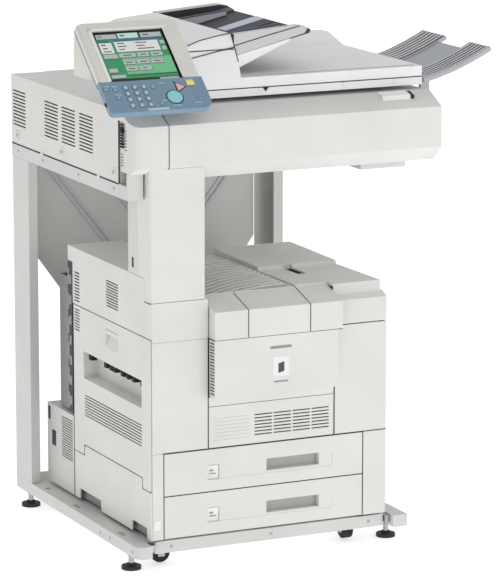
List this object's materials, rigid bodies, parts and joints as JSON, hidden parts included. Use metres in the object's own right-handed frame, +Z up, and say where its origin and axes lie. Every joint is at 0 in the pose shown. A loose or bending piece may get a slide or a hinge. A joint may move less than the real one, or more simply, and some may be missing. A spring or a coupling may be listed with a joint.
{
  "type": "photocopier",
  "caption": "Office laser photocopier on a wheeled rack: paper drawers, side and front doors, bridge scanner, document feeder and tilting touch panel.",
  "frame": {"origin": "centre of the footprint, on the floor under the levelling feet", "axes": "+X to the machine's right, +Y to its back, +Z up"},
  "size_m": [1.0992, 0.83, 1.3329],
  "materials": {
    "cover_plastic": "fine textured moulding, warm off-white",
    "rack_metal": "smooth powder coat, pale grey",
    "chassis_metal": "galvanised sheet, grey",
    "dark_plastic": "textured dark grey moulding",
    "panel_plastic": "fine textured moulding, beige grey",
    "blue_plastic": "satin moulding, grey blue",
    "guide_plastic": "smooth moulding, dark blue grey",
    "tray_plastic": "ribbed moulding, mid grey",
    "screen_glass": "glossy touch screen",
    "glass": "clear float glass",
    "rubber": "matt black rubber",
    "foot_plastic": "matt black foot pad on a threaded stem",
    "caster_steel": "zinc plated pressing",
    "roller_steel": "coated steel roller",
    "drum_coating": "coated aluminium drum",
    "start_plastic": "translucent teal key",
    "stop_plastic": "pink key",
    "power_plastic": "pale yellow key",
    "keypad_rubber": "silicone keypad, grey blue"
  },
  "bodies": {
    "frame": {"base_frame": "rack_metal", "rear_left_post": "rack_metal", "rear_right_post": "rack_metal", "left_top_rail": "rack_metal", "right_top_rail": "rack_metal", "back_panel": "rack_metal", "column_cover": "cover_plastic", "foot_front_left": "foot_plastic", "foot_front_right": "foot_plastic", "foot_rear_left": "foot_plastic", "foot_rear_right": "foot_plastic", "engine_chassis": "chassis_metal", "left_upper_cover": "cover_plastic", "left_lower_cover": "cover_plastic", "front_left_cover": "cover_plastic", "right_cover": "cover_plastic", "front_top_cap": "cover_plastic", "output_bin_cover": "cover_plastic", "top_right_cover": "cover_plastic", "rear_controller_box": "rack_metal", "toner_cartridge": "dark_plastic", "scanner_housing": "cover_plastic", "platen_glass": "glass", "side_controller_box": "cover_plastic", "scanner_corner_cover": "cover_plastic", "feeder_hinge": "dark_plastic", "panel_arm": "panel_plastic"},
    "front_left_fork": {"caster_front_left_fork": "caster_steel"},
    "front_left_wheel": {"caster_front_left_wheel": "rubber"},
    "front_right_fork": {"caster_front_right_fork": "caster_steel"},
    "front_right_wheel": {"caster_front_right_wheel": "rubber"},
    "rear_left_fork": {"caster_rear_left_fork": "caster_steel"},
    "rear_left_wheel": {"caster_rear_left_wheel": "rubber"},
    "rear_right_fork": {"caster_rear_right_fork": "caster_steel"},
    "rear_right_wheel": {"caster_rear_right_wheel": "rubber"},
    "left_door": {"left_door": "cover_plastic"},
    "front_door": {"front_door": "cover_plastic"},
    "bypass_tray": {"bypass_tray": "cover_plastic"},
    "photo_drum": {"photo_drum": "drum_coating"},
    "fuser_roller": {"fuser_roller": "roller_steel"},
    "scan_carriage": {"scan_carriage": "dark_plastic"},
    "lower_drawer": {"paper_drawer_lower": "cover_plastic"},
    "upper_drawer": {"paper_drawer_upper": "cover_plastic"},
    "lower_pickup": {"pickup_roller_lower": "rubber"},
    "upper_pickup": {"pickup_roller_upper": "rubber"},
    "feeder": {"feeder_lid": "cover_plastic"},
    "feeder_cover": {"feeder_top_cover": "cover_plastic"},
    "input_tray": {"input_tray": "dark_plastic"},
    "front_guide": {"paper_guide_front": "guide_plastic"},
    "rear_guide": {"paper_guide_rear": "guide_plastic"},
    "feeder_roller": {"feeder_roller": "rubber"},
    "exit_tray": {"exit_tray": "tray_plastic"},
    "panel": {"panel_housing": "panel_plastic", "panel_deck": "blue_plastic", "touch_screen": "screen_glass"},
    "start_key": {"start_key": "start_plastic"},
    "stop_key": {"stop_key": "stop_plastic"},
    "power_saver_key": {"power_saver_key": "power_plastic"},
    "keypad": {"number_keypad": "keypad_rubber"},
    "contrast_dial": {"contrast_dial": "dark_plastic"}
  },
  "joints": [
    {"name": "front_left_swivel", "type": "hinge", "parent": "frame", "child": "front_left_fork", "pos_m": [-0.3504, -0.277, 0.06], "axis": [0, 0, 1], "continuous": true},
    {"name": "front_left_roll", "type": "hinge", "parent": "front_left_fork", "child": "front_left_wheel", "pos_m": [-0.3684, -0.277, 0.03], "axis": [0, 1, 0], "continuous": true},
    {"name": "front_right_swivel", "type": "hinge", "parent": "frame", "child": "front_right_fork", "pos_m": [0.1436, -0.259, 0.06], "axis": [0, 0, 1], "continuous": true},
    {"name": "front_right_roll", "type": "hinge", "parent": "front_right_fork", "child": "front_right_wheel", "pos_m": [0.1436, -0.277, 0.03], "axis": [1, 0, 0], "continuous": true},
    {"name": "rear_left_swivel", "type": "hinge", "parent": "frame", "child": "rear_left_fork", "pos_m": [-0.3504, 0.323, 0.06], "axis": [0, 0, 1], "continuous": true},
    {"name": "rear_left_roll", "type": "hinge", "parent": "rear_left_fork", "child": "rear_left_wheel", "pos_m": [-0.3684, 0.323, 0.03], "axis": [0, 1, 0], "continuous": true},
    {"name": "rear_right_swivel", "type": "hinge", "parent": "frame", "child": "rear_right_fork", "pos_m": [0.1436, 0.323, 0.06], "axis": [0, 0, 1], "continuous": true},
    {"name": "rear_right_roll", "type": "hinge", "parent": "rear_right_fork", "child": "rear_right_wheel", "pos_m": [0.1256, 0.323, 0.03], "axis": [0, 1, 0], "continuous": true},
    {"name": "left_door_hinge", "type": "hinge", "parent": "frame", "child": "left_door", "pos_m": [-0.4274, -0.127, 0.209], "axis": [0, -1, 0], "range_deg": [0, 70]},
    {"name": "front_door_hinge", "type": "hinge", "parent": "frame", "child": "front_door", "pos_m": [-0.1074, -0.369, 0.409], "axis": [1, 0, 0], "range_deg": [0, 80]},
    {"name": "bypass_tray_hinge", "type": "hinge", "parent": "frame", "child": "bypass_tray", "pos_m": [-0.1054, -0.366, 0.303], "axis": [1, 0, 0], "range_deg": [0, 75]},
    {"name": "upper_drawer_slide", "type": "slide", "parent": "frame", "child": "upper_drawer", "axis": [0, -1, 0], "range_m": [0, 0.38]},
    {"name": "lower_drawer_slide", "type": "slide", "parent": "frame", "child": "lower_drawer", "axis": [0, -1, 0], "range_m": [0, 0.38]},
    {"name": "upper_pickup_spin", "type": "hinge", "parent": "frame", "child": "upper_pickup", "pos_m": [-0.1234, 0.083, 0.2811], "axis": [1, 0, 0], "continuous": true},
    {"name": "lower_pickup_spin", "type": "hinge", "parent": "frame", "child": "lower_pickup", "pos_m": [-0.1234, 0.083, 0.1744], "axis": [1, 0, 0], "continuous": true},
    {"name": "photo_drum_spin", "type": "hinge", "parent": "frame", "child": "photo_drum", "pos_m": [-0.1064, -0.257, 0.43], "axis": [1, 0, 0], "continuous": true},
    {"name": "fuser_roller_spin", "type": "hinge", "parent": "frame", "child": "fuser_roller", "pos_m": [-0.1064, -0.047, 0.4], "axis": [1, 0, 0], "continuous": true},
    {"name": "scan_carriage_slide", "type": "slide", "parent": "frame", "child": "scan_carriage", "axis": [1, 0, 0], "range_m": [0, 0.35]},
    {"name": "feeder_lid_hinge", "type": "hinge", "parent": "frame", "child": "feeder", "pos_m": [0.0466, 0.347, 1.156], "axis": [-1, 0, 0], "range_deg": [0, 70]},
    {"name": "feeder_cover_hinge", "type": "hinge", "parent": "feeder", "child": "feeder_cover", "pos_m": [-0.2734, 0.021, 1.2555], "axis": [0, -1, 0], "range_deg": [0, 60]},
    {"name": "input_tray_hinge", "type": "hinge", "parent": "feeder", "child": "input_tray", "pos_m": [-0.1404, 0.003, 1.288], "axis": [0, -1, 0], "range_deg": [0, 30]},
    {"name": "front_guide_slide", "type": "slide", "parent": "input_tray", "child": "front_guide", "axis": [0, 1, 0], "range_m": [0, 0.075]},
    {"name": "rear_guide_slide", "type": "slide", "parent": "input_tray", "child": "rear_guide", "axis": [0, -1, 0], "range_m": [0, 0.075]},
    {"name": "feeder_roller_spin", "type": "hinge", "parent": "feeder", "child": "feeder_roller", "pos_m": [-0.1704, 0.003, 1.226], "axis": [0, 1, 0], "continuous": true},
    {"name": "exit_tray_hinge", "type": "hinge", "parent": "feeder", "child": "exit_tray", "pos_m": [0.3591, -0.094, 1.157], "axis": [0, -1, 0], "range_deg": [0, 50]},
    {"name": "panel_tilt", "type": "hinge", "parent": "frame", "child": "panel", "pos_m": [-0.4184, -0.217, 1.222], "axis": [-1, 0, 0], "range_deg": [0, 25]},
    {"name": "start_key_press", "type": "slide", "parent": "panel", "child": "start_key", "axis": [0, 0.6455, -0.7638], "range_m": [0, 0.0012], "stiffness_N_per_m": 400},
    {"name": "stop_key_press", "type": "slide", "parent": "panel", "child": "stop_key", "axis": [0, 0.6455, -0.7638], "range_m": [0, 0.0012], "stiffness_N_per_m": 400},
    {"name": "power_saver_key_press", "type": "slide", "parent": "panel", "child": "power_saver_key", "axis": [0, 0.6455, -0.7638], "range_m": [0, 0.0012], "stiffness_N_per_m": 400},
    {"name": "keypad_press", "type": "slide", "parent": "panel", "child": "keypad", "axis": [0, 0.6455, -0.7638], "range_m": [0, 0.0012], "stiffness_N_per_m": 400},
    {"name": "contrast_dial_turn", "type": "hinge", "parent": "panel", "child": "contrast_dial", "pos_m": [-0.5432, -0.38278, 1.1631], "axis": [0, -0.6455, 0.7638], "range_deg": [-120, 120]}
  ],
  "couplings": [
    {"joint": "rear_guide_slide", "follows": "front_guide_slide", "ratio": 1}
  ]
}
